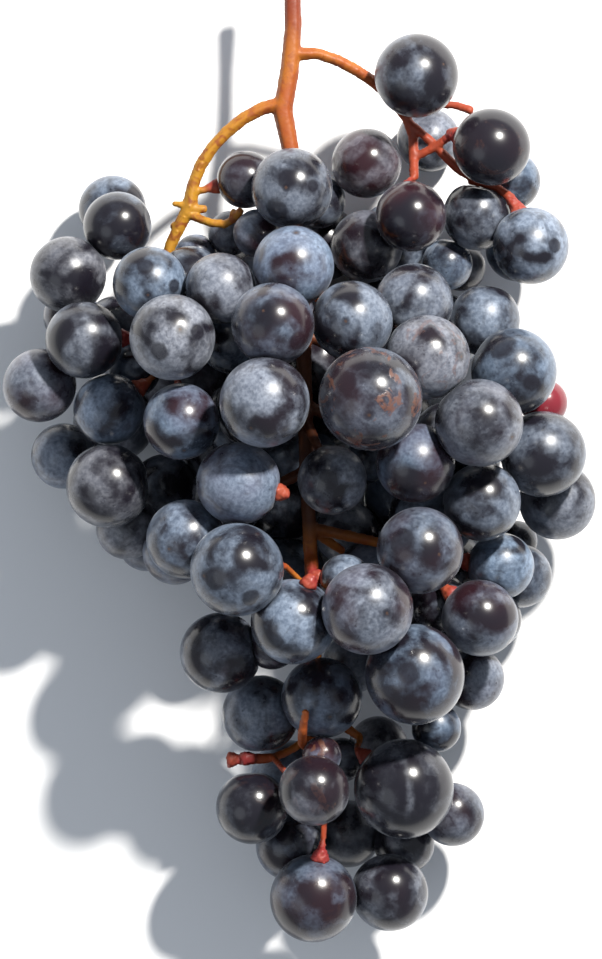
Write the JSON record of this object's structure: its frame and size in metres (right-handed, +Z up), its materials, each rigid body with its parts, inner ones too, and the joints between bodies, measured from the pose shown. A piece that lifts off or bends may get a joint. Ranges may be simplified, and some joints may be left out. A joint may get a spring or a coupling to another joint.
{
  "type": "bunch of grapes",
  "caption": "Bunch of dark table grapes lying on its back, with a branching woody stem and round berries in loose sprays.",
  "frame": {"origin": "middle of the bunch's box, on the surface it lies on", "axes": "+Y along the main stem towards its cut end, +Z up from the surface, the face of the bunch looking up"},
  "size_m": [0.1194, 0.2008, 0.0702],
  "materials": {
    "skin": "blue-black grape skin under a patchy grey-blue bloom, glossy where the bloom is rubbed off",
    "stem": "green wood, rust orange to golden yellow, lightly warty at the berries"
  },
  "bodies": {
    "root": {"stem": "stem", "berries_right_shoulder_end": "skin", "berries_right_shoulder_back": "skin", "berries_right_shoulder_top": "skin", "berries_right_shoulder_low": "skin", "berries_crown": "skin", "berries_left_shoulder_outer": "skin", "berries_left_shoulder_inner": "skin", "berries_left_side": "skin", "berries_face_left": "skin", "berries_face_right": "skin", "berries_right_side_upper": "skin", "berries_right_side_lower": "skin", "berries_left_flank": "skin", "berries_face_middle": "skin", "berries_right_flank": "skin", "berries_lower_face": "skin", "berries_lower_left": "skin", "berries_tail": "skin", "berries_tip": "skin", "berries_back_upper": "skin", "berries_back_middle": "skin", "berries_back_lower": "skin"}
  },
  "joints": []
}
